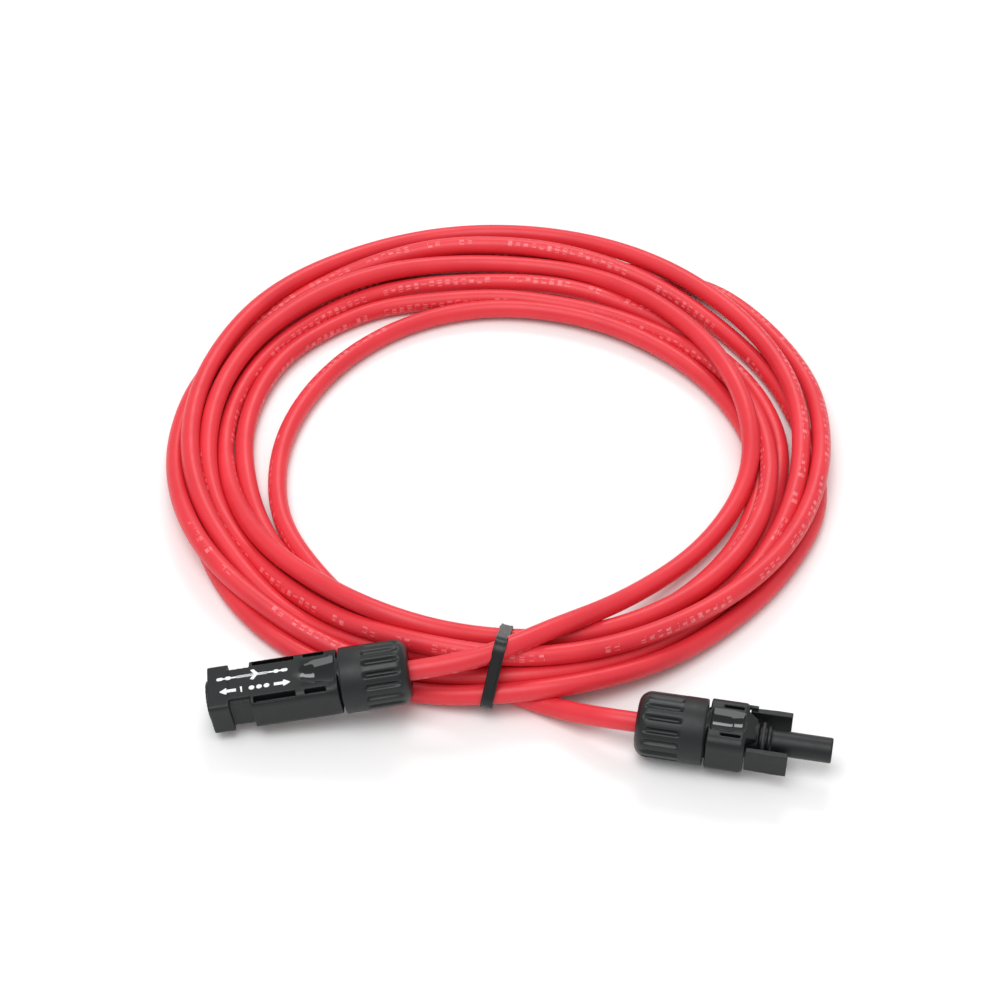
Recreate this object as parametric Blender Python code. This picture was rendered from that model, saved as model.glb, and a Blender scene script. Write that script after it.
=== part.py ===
"""Photovoltaic extension lead: a coiled single-core cable held by one cable tie,
with a pin connector on one end and a socket connector on the other.
Metres, +Z up, standing on z = 0."""
import bpy
import bmesh
from math import pi, sin, cos, radians, sqrt
from mathutils import Matrix, Vector

for ob in list(bpy.data.objects):
    bpy.data.objects.remove(ob, do_unlink=True)

MM = 0.001

# ---- driving dimensions, millimetres -------------------------------------
CABLE_R = 3.0            # sheath radius, 6 mm cable
CORE_R = 1.25            # bare strand radius inside the crimp
PITCH = 2.0              # gland thread pitch
THREAD_AMP = 0.35        # half thread depth
THREAD_MALE = 7.55       # mean radius of the housing thread
THREAD_FEMALE = 7.97     # mean radius of the nut thread
THREAD_X0, THREAD_X1 = -9.4, -1.4
NUT_X0, NUT_X1 = -20.0, -0.6
NUT_R = 9.7
RIBS = 16
TAIL_X = -10.0           # end of the threaded tail of a housing
PROBE_X = 36.5           # tip of the socket housing's probe
FINGER_X0, FINGER_X1 = 12.1, 24.2
N = 32                   # segments round the connector bodies

# offset from the coil's middle to the middle of the two connectors
SHIFT = Vector((4.87, -114.27, 0.0))

# connector axes: nut/housing joint point, in-plane angle of the nose, pitch of the nose
MALE_AT, MALE_YAW, MALE_DIP = (-46.0, -105.2, 13.35), 185.5, 6.9
FEMALE_AT, FEMALE_YAW, FEMALE_DIP = (59.3, -121.5, 9.75), -10.7, 0.0


def frame(at, yaw, dip):
    """Local +X is the nose direction, dipping below the horizon by dip degrees."""
    rot = Matrix.Rotation(radians(yaw), 4, 'Z') @ Matrix.Rotation(radians(dip), 4, 'Y')
    return Matrix.Translation((Vector(at) - SHIFT) * MM) @ rot


MALE = frame(MALE_AT, MALE_YAW, MALE_DIP)
FEMALE = frame(FEMALE_AT, FEMALE_YAW, FEMALE_DIP)


# ---- materials -------------------------------------------------------------
def material(name, rgb, rough, metal=0.0):
    m = bpy.data.materials.new(name)
    m.use_nodes = True
    b = m.node_tree.nodes['Principled BSDF']
    b.inputs['Base Color'].default_value = (*rgb, 1)
    b.inputs['Roughness'].default_value = rough
    b.inputs['Metallic'].default_value = metal
    m.diffuse_color = (*rgb, 1)
    return m


BLACK = (0.028, 0.030, 0.031)
RED = (0.78, 0.06, 0.07)

SLOTS = {}


def slot(name, rgb, rough, metal=0.0):
    if name not in SLOTS:
        SLOTS[name] = material(name, rgb, rough, metal)
    return SLOTS[name]


# ---- mesh helpers ----------------------------------------------------------
def ring(x, radius, n=N):
    """Ring of n points about X; radius is a number or a function of the angle."""
    out = []
    for k in range(n):
        t = 2 * pi * k / n
        r = radius(t) if callable(radius) else radius
        out.append((x, r * cos(t), r * sin(t)))
    return out


def rounded(hy, hz, rc):
    """Polar radius of a rounded rectangle with half sizes hy, hz and corner rc."""
    def f(t):
        c, s = abs(cos(t)) + 1e-9, abs(sin(t)) + 1e-9
        if hy / c * s <= hz - rc:
            return hy / c
        if hz / s * c <= hy - rc:
            return hz / s
        a, b = hy - rc, hz - rc
        k = a * c + b * s
        return k + sqrt(max(k * k - (a * a + b * b - rc * rc), 0.0))
    return f


def add(name, verts, faces, mat, place=None, origin=(0, 0, 0), angle=35):
    """Make one object from millimetre points, its origin at a local point."""
    me = bpy.data.meshes.new(name)
    o = Vector(origin)
    me.from_pydata([((Vector(v) - o) * MM)[:] for v in verts], [], faces)
    bm = bmesh.new()
    bm.from_mesh(me)
    bmesh.ops.recalc_face_normals(bm, faces=bm.faces[:])
    bm.to_mesh(me)
    bm.free()
    ob = bpy.data.objects.new(name, me)
    bpy.context.scene.collection.objects.link(ob)
    m = place if place is not None else Matrix.Identity(4)
    ob.matrix_world = m @ Matrix.Translation(o * MM)
    if mat is not None:
        me.materials.append(mat)
    me.shade_smooth()
    me.set_sharp_from_angle(angle=radians(angle))
    return ob


def bridge(faces, a, na, b, nb):
    """Side faces between ring starting at a (na points) and ring at b (nb points)."""
    if na == nb:
        for i in range(na):
            j = (i + 1) % na
            faces.append((a + i, a + j, b + j, b + i))
    elif na == 2 * nb:
        for i in range(nb):
            j = (i + 1) % nb
            faces.append((a + 2 * i, a + 2 * i + 1, a + (2 * i + 2) % na, b + j, b + i))
    else:
        for i in range(na):
            j = (i + 1) % na
            faces.append((b + 2 * i, b + 2 * i + 1, b + (2 * i + 2) % nb, a + j, a + i))


def skin(rings, closed):
    """Join rings in order; closed joins the last to the first, else the ends are capped."""
    verts, faces, starts = [], [], []
    for r in rings:
        starts.append((len(verts), len(r)))
        verts += r
    for (a, na), (b, nb) in zip(starts, starts[1:]):
        bridge(faces, a, na, b, nb)
    if closed:
        (a, na), (b, nb) = starts[-1], starts[0]
        bridge(faces, a, na, b, nb)
    else:
        a, na = starts[0]
        faces.append(tuple(range(a, a + na)))
        a, na = starts[-1]
        faces.append(tuple(range(a, a + na)))
    return verts, faces


def box(name, lo, hi, place, rot_x=0.0, pivot=(0, 0, 0)):
    v = [(x, y, z) for x in (lo[0], hi[0]) for y in (lo[1], hi[1]) for z in (lo[2], hi[2])]
    p = Vector(pivot)
    r = Matrix.Rotation(radians(rot_x), 3, 'X')
    v = [tuple(r @ (Vector(q) - p) + p) for q in v]
    f = [(0, 1, 3, 2), (4, 6, 7, 5), (0, 4, 5, 1), (2, 3, 7, 6), (0, 2, 6, 4), (1, 5, 7, 3)]
    return add(name, v, f, None, place)


def ball(name, at, size, place, nu=20, nv=10):
    rings = []
    for i in range(1, nv):
        a = pi * i / nv
        rings.append([(at[0] + size[0] * sin(a) * cos(2 * pi * k / nu),
                       at[1] + size[1] * sin(a) * sin(2 * pi * k / nu),
                       at[2] + size[2] * cos(a)) for k in range(nu)])
    v, f = skin(rings, False)
    return add(name, v, f, None, place)


def boolean(ob, cutters, operation='DIFFERENCE'):
    for i, c in enumerate(cutters):
        c.hide_render = True
        c.display_type = 'WIRE'
        m = ob.modifiers.new('bool%d' % i, 'BOOLEAN')
        m.operation = operation
        m.solver = 'EXACT'
        m.object = c


def thread(mean, x):
    """Radius function of a right-hand thread at station x, faded out at both ends."""
    end = min(x - THREAD_X0, THREAD_X1 - x) / 0.8
    amp = THREAD_AMP * max(0.0, min(1.0, end))
    phase = 2 * pi * x / PITCH
    return lambda t: mean + amp * cos(phase - t)


def thread_stations():
    step = PITCH / 5
    n = int(round((THREAD_X1 - THREAD_X0) / step))
    return [THREAD_X0 + (THREAD_X1 - THREAD_X0) * i / n for i in range(n + 1)]


# ---- pieces shared by both connectors --------------------------------------
def tail_outer():
    """Outer rings of the threaded tail, from its end to the flange."""
    rings = [ring(TAIL_X, 7.05)]
    rings += [ring(x, thread(THREAD_MALE, x)) for x in thread_stations()]
    rings += [ring(-1.0, 7.3), ring(0.6, 7.3)]
    return rings


def cap_nut(name, place):
    outer = [ring(NUT_X1, 9.45, 2 * N), ring(NUT_X1 - 0.35, NUT_R, 2 * N), ring(-6.4, NUT_R, 2 * N)]
    ribs = [(-7.0, 0.0), (-7.8, 0.75), (-12.2, 0.85), (-16.2, 0.75), (-17.2, 0.1)]
    for x, depth in ribs:
        base = NUT_R - (0.12 if x > -17 else 0.35)
        outer.append(ring(x, lambda t, b=base, d=depth: b - d * (0.5 - 0.5 * cos(RIBS * t)), 2 * N))
    outer += [ring(-18.6, 8.75, 2 * N), ring(-19.6, 7.6, 2 * N), ring(NUT_X0, 6.6, 2 * N)]
    inner = [ring(NUT_X0, 3.45), ring(-17.9, 3.45), ring(-17.7, 6.1), ring(-11.0, 6.9), ring(-9.9, 7.9)]
    inner += [ring(x, thread(THREAD_FEMALE, x)) for x in thread_stations()]
    inner += [ring(NUT_X1, 8.5)]
    v, f = skin(outer + inner, True)
    return add(name, v, f, slot(name, BLACK, 0.5), place)


def gland_seal(name, place):
    prof = [(-9.4, 3.3), (-9.4, 5.6), (-6.6, 5.35), (-3.95, 5.6), (-3.95, 3.3), (-6.6, 3.5)]
    v, f = skin([ring(x, r, 24) for x, r in prof], True)
    return add(name, v, f, slot(name, (0.05, 0.05, 0.052), 0.75), place)


def clamp_cage(name, place):
    prof = [(-17.3, 3.35), (-17.3, 5.2), (-16.2, 5.7), (-11.2, 5.7), (-10.3, 5.7), (-9.75, 5.5), (-9.75, 3.35)]
    v, f = skin([ring(x, r, 24) for x, r in prof], True)
    ob = add(name, v, f, slot(name, (0.035, 0.036, 0.038), 0.55), place)
    cuts = []
    for i in range(3):
        cuts.append(box('%s_cut%d' % (name, i), (-18.0, -8.0, -0.45), (-12.0, 8.0, 0.45), place, 60 * i + 12))
    boolean(ob, cuts)
    return ob


def contact_clip(name, place):
    prof = [(4.4, 2.5), (4.4, 2.95), (8.3, 3.95), (8.6, 3.65), (5.2, 2.5)]
    v, f = skin([ring(x, r, 24) for x, r in prof], True)
    return add(name, v, f, slot(name, (0.62, 0.62, 0.60), 0.3, 1.0), place)


def cable_end(name, place):
    v, f = skin([ring(-19.95, CABLE_R, 16), ring(-3.7, CABLE_R, 16)][::-1], False)
    ob = add(name, v, f, slot(name, RED, 0.45), place)
    cut_v, cut_f = skin([ring(-5.2, CORE_R + 0.3, 16), ring(-3.0, CORE_R + 0.3, 16)], False)
    boolean(ob, [add(name + '_bore', cut_v, cut_f, None, place)])
    return ob


def conductor(name, place):
    v, f = skin([ring(-4.9, CORE_R, 12), ring(5.6, CORE_R, 12)], False)
    return add(name, v, f, slot(name, (0.72, 0.70, 0.66), 0.35, 1.0), place)


def scoop(name, stations, rim, place):
    """Cutter for a thumb recess: stations of x, half width and floor height, with a dished floor up to the rim height."""
    rings = []
    for x, hw, zf in stations:
        row = [(x, hw * t / 5.0, zf + max(rim - zf, 0.0) * abs(t / 5.0) ** 2.4) for t in range(-5, 6)]
        rings.append(row + [(x, hw, 14.0), (x, -hw, 14.0)])
    v, f = skin(rings, False)
    return add(name, v, f, None, place)


# ---- pin connector ---------------------------------------------------------
body = rounded(8.6, 6.1, 2.5)
root_section = rounded(8.8, 6.9, 4.4)
rings = tail_outer()
rings += [ring(0.65, rounded(8.5, 6.6, 4.2)), ring(0.9, root_section), ring(3.4, body), ring(26.0, body), ring(38.3, body),
          ring(38.8, rounded(8.35, 5.95, 2.3)), ring(38.8, 5.8), ring(39.3, 5.8), ring(39.5, 5.65)]
rings += [ring(39.5, 5.45), ring(38.9, 5.3), ring(27.0, 5.3), ring(26.2, 4.2), ring(11.0, 4.2), ring(11.0, 2.5),
          ring(9.0, 2.5), ring(9.0, 4.3), ring(-3.6, 4.3), ring(-3.65, 6.0), ring(TAIL_X, 6.0)]
v, f = skin(rings, True)
male_housing = add('male_housing', v, f, slot('male_housing', BLACK, 0.45), MALE)
cuts = []
for s, side in ((1, 'a'), (-1, 'b')):
    cuts.append(box('mh_notch_' + side, (26.4, min(6.5 * s, 12 * s), -12.0), (32.7, max(6.5 * s, 12 * s), 12.0), MALE))
    cuts.append(box('mh_slot_' + side, (13.2, min(5.8 * s, 7.8 * s), 3.4), (25.4, max(5.8 * s, 7.8 * s), 12.0), MALE))
    cuts.append(box('mh_short_' + side, (4.3, min(6.0 * s, 7.6 * s), 3.8), (10.4, max(6.0 * s, 7.6 * s), 12.0), MALE))
cuts.append(scoop('mh_thumb', [(1.3, 5.3, 5.15), (7.4, 4.7, 5.0), (8.0, 4.6, 5.15), (10.4, 3.6, 5.5), (11.2, 3.1, 5.75), (14.6, 0.35, 6.2)], 6.3, MALE))
boolean(male_housing, cuts)

prof = [(-2.9, 2.2), (8.6, 2.2), (9.2, 2.2), (13.0, 2.2), (13.3, 2.0), (27.0, 2.0), (27.8, 1.6), (28.2, 0.9)]
v, f = skin([ring(x, r, 20) for x, r in prof], False)
male_pin = add('male_pin', v, f, slot('male_pin', (0.80, 0.80, 0.78), 0.25, 1.0), MALE)
cv, cf = skin([ring(-3.6, 1.6, 16), ring(6.2, 1.6, 16)], False)
boolean(male_pin, [add('mp_bore', cv, cf, None, MALE)])

contact_clip('male_contact_clip', MALE)
gland_seal('male_gland_seal', MALE)
clamp_cage('male_clamp_cage', MALE)
cap_nut('male_cap_nut', MALE)
cable_end('male_cable_end', MALE)
conductor('male_conductor', MALE)

# ---- socket connector ------------------------------------------------------
fbody = rounded(9.0, 6.8, 3.0)
fwaist = rounded(8.7, 6.3, 2.8)
rings = tail_outer()
rings += [ring(0.65, rounded(8.7, 6.5, 3.4)), ring(0.9, fbody), ring(6.0, fbody), ring(10.9, fbody), ring(11.5, fwaist), ring(11.7, fwaist), ring(11.7, 5.3),
          ring(15.2, 5.0), ring(15.4, 4.1), ring(17.7, 4.1), ring(17.9, 4.6), ring(18.7, 4.6), ring(18.9, 3.7),
          ring(36.1, 3.7), ring(PROBE_X, 3.4)]
rings += [ring(PROBE_X, 2.85), ring(11.0, 2.85), ring(11.0, 2.5), ring(9.0, 2.5), ring(9.0, 4.3),
          ring(-3.6, 4.3), ring(-3.65, 6.0), ring(TAIL_X, 6.0)]
v, f = skin(rings, True)
female_housing = add('female_housing', v, f, slot('female_housing', BLACK, 0.45), FEMALE)
ramp = [(10.4, 5.3, 3.0), (10.4, 5.3, 6.4), (11.6, 5.1, 6.35), (14.6, 3.7, 4.7), (14.6, 3.7, 3.0)]
v, f = skin([[(x, -y, z) for x, y, z in ramp], [(x, y, z) for x, y, z in ramp]], False)
boolean(female_housing, [add('fh_ramp', v, f, None, FEMALE), box('fh_lever', (6.0, 6.8, 4.5), (14.2, 7.9, 5.7), FEMALE)], 'UNION')
cuts = [scoop('fh_thumb', [(1.3, 4.4, 5.6), (7.4, 4.4, 5.4), (7.9, 4.3, 5.55), (10.5, 4.1, 5.85), (10.9, 4.0, 6.1), (12.4, 3.9, 7.4)], 7.0, FEMALE)]
for s, side in ((1, 'a'), (-1, 'b')):
    cuts.append(box('fh_slot_' + side, (4.5, min(4.7 * s, 5.7 * s), 5.2), (10.2, max(4.7 * s, 5.7 * s), 12.0), FEMALE))
boolean(female_housing, cuts)

prof = [(-2.9, 2.2), (10.9, 2.2), (11.3, 2.5), (35.2, 2.5), (35.6, 2.35)]
v, f = skin([ring(x, r, 20) for x, r in prof], False)
female_socket = add('female_socket', v, f, slot('female_socket', (0.80, 0.80, 0.78), 0.25, 1.0), FEMALE)
cv, cf = skin([ring(-3.6, 1.6, 16), ring(6.2, 1.6, 16)], False)
dv, df = skin([ring(16.0, 2.05, 20), ring(36.2, 2.05, 20)], False)
boolean(female_socket, [add('fs_bore', cv, cf, None, FEMALE), add('fs_mouth', dv, df, None, FEMALE),
                        box('fs_slit', (22.0, -0.25, -4.0), (37.0, 0.25, 4.0), FEMALE)])

for s, name in ((-1, 'female_latch_finger_front'), (1, 'female_latch_finger_back')):
    # plate seen from above, thin at the root and hooked outwards at the tip
    plan = [(FINGER_X0, 6.6), (FINGER_X1, 6.6), (FINGER_X1, 8.3), (23.3, 8.75), (21.4, 8.75), (21.0, 8.2), (FINGER_X0, 8.2)]
    lo = [(x, s * y, -4.3) for x, y in plan]
    hi = [(x, s * y, 4.1) for x, y in plan]
    v, f = skin([lo, hi], False)
    add(name, v, f, slot(name, BLACK, 0.45), FEMALE, origin=(FINGER_X0 + 0.5, s * 7.4, 0.0))

prof = [(16.55 + 0.5 * cos(2 * pi * k / 10), 4.9 + 0.5 * sin(2 * pi * k / 10)) for k in range(10)]
v, f = skin([ring(x, r, 24) for x, r in prof], True)
add('nose_o_ring', v, f, slot('nose_o_ring', (0.03, 0.03, 0.032), 0.6), FEMALE)

contact_clip('female_contact_clip', FEMALE)
gland_seal('female_gland_seal', FEMALE)
clamp_cage('female_clamp_cage', FEMALE)
cap_nut('female_cap_nut', FEMALE)
cable_end('female_cable_end', FEMALE)
conductor('female_conductor', FEMALE)


# ---- cable -----------------------------------------------------------------
def smooth(points, step):
    """Catmull-Rom curve through the points, sampled every step millimetres or so."""
    pts = [Vector(p) for p in points]
    pts = [pts[0] * 2 - pts[1]] + pts + [pts[-1] * 2 - pts[-2]]
    out = [pts[1]]
    for i in range(1, len(pts) - 2):
        a, b, c, d = pts[i - 1:i + 3]
        n = max(1, int(round((c - b).length / step)))
        for k in range(1, n + 1):
            t = k / n
            out.append(0.5 * ((2 * b) + (c - a) * t + (2 * a - 5 * b + 4 * c - d) * t * t + (3 * b - a - 3 * c + d) * t ** 3))
    return out


def tube(name, points, radius, mat, segs=3):
    cu = bpy.data.curves.new(name, 'CURVE')
    cu.dimensions = '3D'
    cu.bevel_depth = radius * MM
    cu.bevel_resolution = segs
    cu.use_fill_caps = True
    cu.render_resolution_u = 0
    sp = cu.splines.new('POLY')
    sp.points.add(len(points) - 1)
    for q, p in zip(sp.points, points):
        q.co = (*(p * MM), 1)
    if mat is not None:
        cu.materials.append(mat)
    ob = bpy.data.objects.new(name, cu)
    bpy.context.scene.collection.objects.link(ob)
    return ob


def on_axis(place, x):
    return (place @ Vector((x * MM, 0, 0))) / MM


def route(place, more):
    """Straight out of the nut, then through the given coil-centred points."""
    start = [on_axis(place, x) for x in (-20.25, -25.0, -30.5)]
    return smooth(start + [Vector(p) - SHIFT for p in more], 7.0)


MALE_RUN = [(-8.5, -99.9, 17.0), (2.0, -93.5, 14.6), (11.0, -88.0, 12.6), (20.0, -83.5, 10.0), (28.0, -79.8, 7.6)]
FEMALE_RUN = [(20.5, -110.8, 7.2), (12.5, -106.6, 4.4), (5.6, -104.6, 3.6)]
male_path = route(MALE, MALE_RUN)
female_path = route(FEMALE, FEMALE_RUN)
tube('cable_tail_male', male_path, CABLE_R, slot('cable_tail_male', RED, 0.45))
tube('cable_tail_female', female_path, CABLE_R, slot('cable_tail_female', RED, 0.45))

# coil envelope: inner radius at every 15 degrees from the front (-90) round
INNER = (82.6, 77.5, 76.5, 76.0, 76.7, 77.5, 78.7, 78.0, 75.7, 72.5, 70.3, 68.5,
         67.7, 66.7, 65.8, 65.0, 64.5, 65.5, 67.5, 70.5, 74.0, 78.0, 80.4, 81.6)
OUTER = 106.5
COIL_N = 72
TIE_ANGLE = -91.0
NOTCH = 5.4


def coil_section(deg):
    u = (deg + 90.0) / 15.0
    i = int(u // 1)
    t = u - i
    t = t * t * (3 - 2 * t)
    r0 = INNER[i % 24] * (1 - t) + INNER[(i + 1) % 24] * t
    d = abs((deg - TIE_ANGLE + 180) % 360 - 180)
    r1 = OUTER - 1.7 * max(0.0, 1 - d / 30.0)
    z0, top = 0.0, 11.8
    if d < NOTCH + 0.1:
        r0, r1, z0 = 83.8, 104.0, 1.9
    return [(r0 + 2.2, z0), (r1 - 2.4, z0), (r1, z0 + 2.2), (r1, 7.4), (r1 - 5.0, top), (r0 + 4.0, top), (r0, 8.4), (r0, z0 + 2.0)]


edges = [TIE_ANGLE - NOTCH - 1.2, TIE_ANGLE - NOTCH, TIE_ANGLE + NOTCH, TIE_ANGLE + NOTCH + 1.2]
angles = sorted(edges + [a for a in (-90 + 5 * k for k in range(-1, COIL_N - 1)) if abs(a - TIE_ANGLE) > NOTCH + 2.0])
rings = []
for a in angles:
    c, s = cos(radians(a)), sin(radians(a))
    rings.append([tuple(Vector((r * c, r * s, z)) - SHIFT) for r, z in coil_section(a)])
v, f = skin(rings, True)
coil = add('cable_coil', v, f, slot('cable_coil', RED, 0.45), angle=50)


def groove(name, points, radius):
    """Round closed bar swept along the points, used as a cutter."""
    rings = []
    for i, p in enumerate(points):
        t = (points[min(i + 1, len(points) - 1)] - points[max(i - 1, 0)]).normalized()
        side = t.cross(Vector((0, 0, 1))).normalized()
        up = side.cross(t)
        rings.append([tuple(p + (side * cos(2 * pi * k / 14) + up * sin(2 * pi * k / 14)) * radius) for k in range(14)])
    v, f = skin(rings, False)
    return add(name, v, f, None)


# room in the coil envelope for the two tails and for the pin connector with its nut backed off
mc = [ring(x, r, 24) for x, r in ((-30.0, 10.3), (45.0, 10.3))]
cv, cf = skin(mc, False)
over = add('coil_cut_male', cv, cf, None, MALE)
boolean(coil, [over,
               groove('coil_cut_a', male_path[4:] + [male_path[-1] + (male_path[-1] - male_path[-2]).normalized() * 0.35], CABLE_R + 0.45),
               groove('coil_cut_b', female_path[3:] + [female_path[-1] + (female_path[-1] - female_path[-2]).normalized() * 0.35], CABLE_R + 0.45)])

# ---- cable tie -------------------------------------------------------------
TIE_W, TIE_T = 3.6, 1.2
tie_frame = Matrix.Translation((Vector((-1.6, -93.6, 0)) - SHIFT) * MM) @ Matrix.Rotation(radians(-102.0), 4, 'Z')
# loop outline in the plane across the bundle: distance outwards, height
INNER_LOOP = [(-11.2, 3.0), (-9.6, 1.45), (9.4, 1.45), (11.6, 3.2), (11.7, 8.0), (9.3, 15.8), (6.7, 19.6), (-0.2, 19.6), (-3.8, 16.8), (-9.5, 12.6), (-11.3, 10.2)]


def grow(loop, t):
    out = []
    n = len(loop)
    for i in range(n):
        a, b, c = Vector(loop[i - 1]), Vector(loop[i]), Vector(loop[(i + 1) % n])
        n1 = Vector(((b - a).y, -(b - a).x)).normalized()
        n2 = Vector(((c - b).y, -(c - b).x)).normalized()
        m = (n1 + n2).normalized()
        out.append(tuple(b + m * (t / m.dot(n1))))
    return out


OUTER_LOOP = grow(INNER_LOOP, TIE_T)
loops = []
for loop, y in ((OUTER_LOOP, -TIE_W / 2), (OUTER_LOOP, TIE_W / 2), (INNER_LOOP, TIE_W / 2), (INNER_LOOP, -TIE_W / 2)):
    loops.append([(p[0], y, p[1]) for p in loop])
v, f = skin(loops, True)
tie = add('cable_tie', v, f, slot('cable_tie', (0.012, 0.012, 0.013), 0.4), tie_frame)
head = box('tie_head', (-16.6, -2.7, 3.6), (-11.9, 2.7, 9.0), tie_frame)
boolean(tie, [head], 'UNION')
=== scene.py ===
from math import pi, sin, cos, radians, sqrt

import bpy
import bmesh
import numpy as np
from mathutils import Matrix, Vector


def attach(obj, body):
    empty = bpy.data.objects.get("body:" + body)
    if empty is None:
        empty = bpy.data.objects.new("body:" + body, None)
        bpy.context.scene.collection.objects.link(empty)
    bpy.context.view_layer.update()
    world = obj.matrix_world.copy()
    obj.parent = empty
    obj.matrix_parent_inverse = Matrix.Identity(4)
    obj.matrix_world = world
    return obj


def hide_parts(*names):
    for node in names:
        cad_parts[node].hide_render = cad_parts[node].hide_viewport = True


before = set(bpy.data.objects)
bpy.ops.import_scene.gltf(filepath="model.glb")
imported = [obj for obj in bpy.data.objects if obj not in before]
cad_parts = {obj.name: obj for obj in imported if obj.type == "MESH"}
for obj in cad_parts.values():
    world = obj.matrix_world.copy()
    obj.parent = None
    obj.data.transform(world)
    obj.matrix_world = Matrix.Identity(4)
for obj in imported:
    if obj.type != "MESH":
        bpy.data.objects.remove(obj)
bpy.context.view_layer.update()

MM = 0.001
SHIFT = Vector((4.87, -114.27, 0.0))      # middle of the coil to the row's origin, mm
CABLE_D = 6.0
scene = bpy.context.scene
scene.view_settings.view_transform = 'Standard'


def place(at, yaw, dip):
    rot = Matrix.Rotation(radians(yaw), 4, 'Z') @ Matrix.Rotation(radians(dip), 4, 'Y')
    return Matrix.Translation((Vector(at) - SHIFT) * MM) @ rot @ Matrix.Scale(MM, 4)


MALE = place((-46.0, -105.2, 13.35), 185.5, 6.9)
FEMALE = place((59.3, -121.5, 9.75), -10.7, 0.0)


# ---- camera ----------------------------------------------------------------
ELEV, DIST, FOCAL = radians(46.0), 0.80, 2.504
target = Vector((0.0, -0.019, 0.0)) - SHIFT * MM
cam = bpy.data.cameras.new('camera')
cam.sensor_width = 36.0
cam.lens = FOCAL * 36.0
cam.clip_start = 0.01
cam_ob = bpy.data.objects.new('camera', cam)
scene.collection.objects.link(cam_ob)
cam_ob.location = target + Vector((0, -cos(ELEV), sin(ELEV))) * DIST
cam_ob.rotation_euler = (pi / 2 - ELEV, 0, 0)
scene.camera = cam_ob


# ---- node helpers ----------------------------------------------------------
class Nodes:
    def __init__(self, name):
        self.m = bpy.data.materials.new(name)
        self.m.use_nodes = True
        self.t = self.m.node_tree
        self.b = self.t.nodes['Principled BSDF']

    def new(self, kind, **kw):
        n = self.t.nodes.new(kind)
        for k, v in kw.items():
            setattr(n, k, v)
        return n

    def put(self, node, socket, value):
        if hasattr(value, 'is_output') or isinstance(value, bpy.types.NodeSocket):
            self.t.links.new(value, node.inputs[socket])
        elif value is not None:
            node.inputs[socket].default_value = value

    def math(self, op, a, b=None, c=None):
        n = self.new('ShaderNodeMath', operation=op)
        for i, v in enumerate((a, b, c)):
            if v is not None:
                self.put(n, i, v)
        return n.outputs[0]

    def noise(self, vector, scale, detail=3.0, rough=0.5):
        n = self.new('ShaderNodeTexNoise')
        self.put(n, 'Vector', vector)
        n.inputs['Scale'].default_value = scale
        n.inputs['Detail'].default_value = detail
        n.inputs['Roughness'].default_value = rough
        return n.outputs['Fac']

    def ramp(self, fac, stops):
        n = self.new('ShaderNodeValToRGB')
        self.put(n, 'Fac', fac)
        e = n.color_ramp.elements
        while len(e) < len(stops):
            e.new(0.5)
        for q, (p, c) in zip(e, stops):
            q.position = p
            q.color = (*c, 1)
        return n.outputs['Color']

    def mix(self, fac, a, b):
        n = self.new('ShaderNodeMix', data_type='RGBA')
        self.put(n, 0, fac)
        self.put(n, 6, a)
        self.put(n, 7, b)
        return n.outputs[2]

    def bump(self, height, strength, distance):
        n = self.new('ShaderNodeBump')
        n.inputs['Strength'].default_value = strength
        n.inputs['Distance'].default_value = distance
        self.put(n, 'Height', height)
        self.t.links.new(n.outputs['Normal'], self.b.inputs['Normal'])

    def coords(self):
        return self.new('ShaderNodeTexCoord').outputs['Object']


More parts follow.
